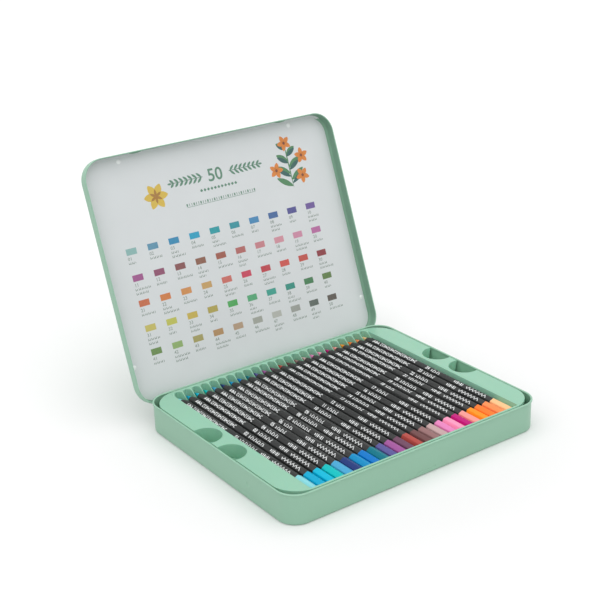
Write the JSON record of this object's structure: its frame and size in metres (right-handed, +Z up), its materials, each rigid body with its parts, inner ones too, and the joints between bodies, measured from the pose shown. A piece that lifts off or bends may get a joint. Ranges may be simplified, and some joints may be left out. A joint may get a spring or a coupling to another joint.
{
  "type": "pencil tin",
  "caption": "Flat hinged metal tin for coloured pencils, lid open, with two stacked grooved trays, finger notches and a full layer of hexagonal pencils.",
  "frame": {"origin": "on the table under the middle of the tin's base", "axes": "+Z up, +Y towards the hinges, +X to the right as seen from the front"},
  "size_m": [0.2286, 0.2613, 0.1922],
  "materials": {
    "tin_paint": "satin",
    "lid_paint": "satin",
    "hinge_metal": "bright",
    "tray_plastic": "moulded",
    "casing": "black lacquer over dyed wood",
    "lower_colours": "matt",
    "colour_01": "matt pale cyan pigment",
    "colour_02": "matt process blue pigment",
    "colour_03": "matt cyan pigment",
    "colour_04": "matt turquoise pigment",
    "colour_05": "matt sky blue pigment",
    "colour_06": "matt navy pigment",
    "colour_07": "matt cerulean pigment",
    "colour_08": "matt royal blue pigment",
    "colour_09": "matt teal pigment",
    "colour_10": "matt blue violet pigment",
    "colour_11": "matt purple pigment",
    "colour_12": "matt plum pigment",
    "colour_13": "matt brick pigment",
    "colour_14": "matt dark brown pigment",
    "colour_15": "matt mauve brown pigment",
    "colour_16": "matt dusty pink pigment",
    "colour_17": "matt orchid pigment",
    "colour_18": "matt pink pigment",
    "colour_19": "matt magenta pigment",
    "colour_20": "matt salmon pigment",
    "colour_21": "matt amber pigment",
    "colour_22": "matt orange pigment",
    "colour_23": "matt light orange pigment",
    "colour_24": "matt peach pigment"
  },
  "bodies": {
    "base": {"base_tin": "tin_paint", "base_hinges": "hinge_metal", "hinge_pins": "hinge_metal"},
    "lid": {"lid": "lid_paint", "lid_hinges": "hinge_metal"},
    "lower_tray": {"lower_tray": "tray_plastic", "lower_barrels": "casing", "lower_leads": "lower_colours"},
    "upper_tray": {"upper_tray": "tray_plastic"},
    "pencil_01": {"pencil_01_barrel": "casing", "pencil_01_lead": "colour_01"},
    "pencil_02": {"pencil_02_barrel": "casing", "pencil_02_lead": "colour_02"},
    "pencil_03": {"pencil_03_barrel": "casing", "pencil_03_lead": "colour_03"},
    "pencil_04": {"pencil_04_barrel": "casing", "pencil_04_lead": "colour_04"},
    "pencil_05": {"pencil_05_barrel": "casing", "pencil_05_lead": "colour_05"},
    "pencil_06": {"pencil_06_barrel": "casing", "pencil_06_lead": "colour_06"},
    "pencil_07": {"pencil_07_barrel": "casing", "pencil_07_lead": "colour_07"},
    "pencil_08": {"pencil_08_barrel": "casing", "pencil_08_lead": "colour_08"},
    "pencil_09": {"pencil_09_barrel": "casing", "pencil_09_lead": "colour_09"},
    "pencil_10": {"pencil_10_barrel": "casing", "pencil_10_lead": "colour_10"},
    "pencil_11": {"pencil_11_barrel": "casing", "pencil_11_lead": "colour_11"},
    "pencil_12": {"pencil_12_barrel": "casing", "pencil_12_lead": "colour_12"},
    "pencil_13": {"pencil_13_barrel": "casing", "pencil_13_lead": "colour_13"},
    "pencil_14": {"pencil_14_barrel": "casing", "pencil_14_lead": "colour_14"},
    "pencil_15": {"pencil_15_barrel": "casing", "pencil_15_lead": "colour_15"},
    "pencil_16": {"pencil_16_barrel": "casing", "pencil_16_lead": "colour_16"},
    "pencil_17": {"pencil_17_barrel": "casing", "pencil_17_lead": "colour_17"},
    "pencil_18": {"pencil_18_barrel": "casing", "pencil_18_lead": "colour_18"},
    "pencil_19": {"pencil_19_barrel": "casing", "pencil_19_lead": "colour_19"},
    "pencil_20": {"pencil_20_barrel": "casing", "pencil_20_lead": "colour_20"},
    "pencil_21": {"pencil_21_barrel": "casing", "pencil_21_lead": "colour_21"},
    "pencil_22": {"pencil_22_barrel": "casing", "pencil_22_lead": "colour_22"},
    "pencil_23": {"pencil_23_barrel": "casing", "pencil_23_lead": "colour_23"},
    "pencil_24": {"pencil_24_barrel": "casing", "pencil_24_lead": "colour_24"}
  },
  "joints": [
    {"name": "lid_hinge", "type": "hinge", "parent": "base", "child": "lid", "pos_m": [0, 0.0944, 0.0151], "axis": [-1, 0, 0], "range_deg": [-110.3, 0]},
    {"name": "lower_tray_lift", "type": "slide", "parent": "base", "child": "lower_tray", "axis": [0, 0, 1], "range_m": [0, 0.05]},
    {"name": "upper_tray_lift", "type": "slide", "parent": "lower_tray", "child": "upper_tray", "axis": [0, 0, 1], "range_m": [0, 0.06]},
    {"name": "pencil_01_lift", "type": "slide", "parent": "upper_tray", "child": "pencil_01", "axis": [0, 0, 1], "range_m": [0, 0.04]},
    {"name": "pencil_02_lift", "type": "slide", "parent": "upper_tray", "child": "pencil_02", "axis": [0, 0, 1], "range_m": [0, 0.04]},
    {"name": "pencil_03_lift", "type": "slide", "parent": "upper_tray", "child": "pencil_03", "axis": [0, 0, 1], "range_m": [0, 0.04]},
    {"name": "pencil_04_lift", "type": "slide", "parent": "upper_tray", "child": "pencil_04", "axis": [0, 0, 1], "range_m": [0, 0.04]},
    {"name": "pencil_05_lift", "type": "slide", "parent": "upper_tray", "child": "pencil_05", "axis": [0, 0, 1], "range_m": [0, 0.04]},
    {"name": "pencil_06_lift", "type": "slide", "parent": "upper_tray", "child": "pencil_06", "axis": [0, 0, 1], "range_m": [0, 0.04]},
    {"name": "pencil_07_lift", "type": "slide", "parent": "upper_tray", "child": "pencil_07", "axis": [0, 0, 1], "range_m": [0, 0.04]},
    {"name": "pencil_08_lift", "type": "slide", "parent": "upper_tray", "child": "pencil_08", "axis": [0, 0, 1], "range_m": [0, 0.04]},
    {"name": "pencil_09_lift", "type": "slide", "parent": "upper_tray", "child": "pencil_09", "axis": [0, 0, 1], "range_m": [0, 0.04]},
    {"name": "pencil_10_lift", "type": "slide", "parent": "upper_tray", "child": "pencil_10", "axis": [0, 0, 1], "range_m": [0, 0.04]},
    {"name": "pencil_11_lift", "type": "slide", "parent": "upper_tray", "child": "pencil_11", "axis": [0, 0, 1], "range_m": [0, 0.04]},
    {"name": "pencil_12_lift", "type": "slide", "parent": "upper_tray", "child": "pencil_12", "axis": [0, 0, 1], "range_m": [0, 0.04]},
    {"name": "pencil_13_lift", "type": "slide", "parent": "upper_tray", "child": "pencil_13", "axis": [0, 0, 1], "range_m": [0, 0.04]},
    {"name": "pencil_14_lift", "type": "slide", "parent": "upper_tray", "child": "pencil_14", "axis": [0, 0, 1], "range_m": [0, 0.04]},
    {"name": "pencil_15_lift", "type": "slide", "parent": "upper_tray", "child": "pencil_15", "axis": [0, 0, 1], "range_m": [0, 0.04]},
    {"name": "pencil_16_lift", "type": "slide", "parent": "upper_tray", "child": "pencil_16", "axis": [0, 0, 1], "range_m": [0, 0.04]},
    {"name": "pencil_17_lift", "type": "slide", "parent": "upper_tray", "child": "pencil_17", "axis": [0, 0, 1], "range_m": [0, 0.04]},
    {"name": "pencil_18_lift", "type": "slide", "parent": "upper_tray", "child": "pencil_18", "axis": [0, 0, 1], "range_m": [0, 0.04]},
    {"name": "pencil_19_lift", "type": "slide", "parent": "upper_tray", "child": "pencil_19", "axis": [0, 0, 1], "range_m": [0, 0.04]},
    {"name": "pencil_20_lift", "type": "slide", "parent": "upper_tray", "child": "pencil_20", "axis": [0, 0, 1], "range_m": [0, 0.04]},
    {"name": "pencil_21_lift", "type": "slide", "parent": "upper_tray", "child": "pencil_21", "axis": [0, 0, 1], "range_m": [0, 0.04]},
    {"name": "pencil_22_lift", "type": "slide", "parent": "upper_tray", "child": "pencil_22", "axis": [0, 0, 1], "range_m": [0, 0.04]},
    {"name": "pencil_23_lift", "type": "slide", "parent": "upper_tray", "child": "pencil_23", "axis": [0, 0, 1], "range_m": [0, 0.04]},
    {"name": "pencil_24_lift", "type": "slide", "parent": "upper_tray", "child": "pencil_24", "axis": [0, 0, 1], "range_m": [0, 0.04]}
  ]
}
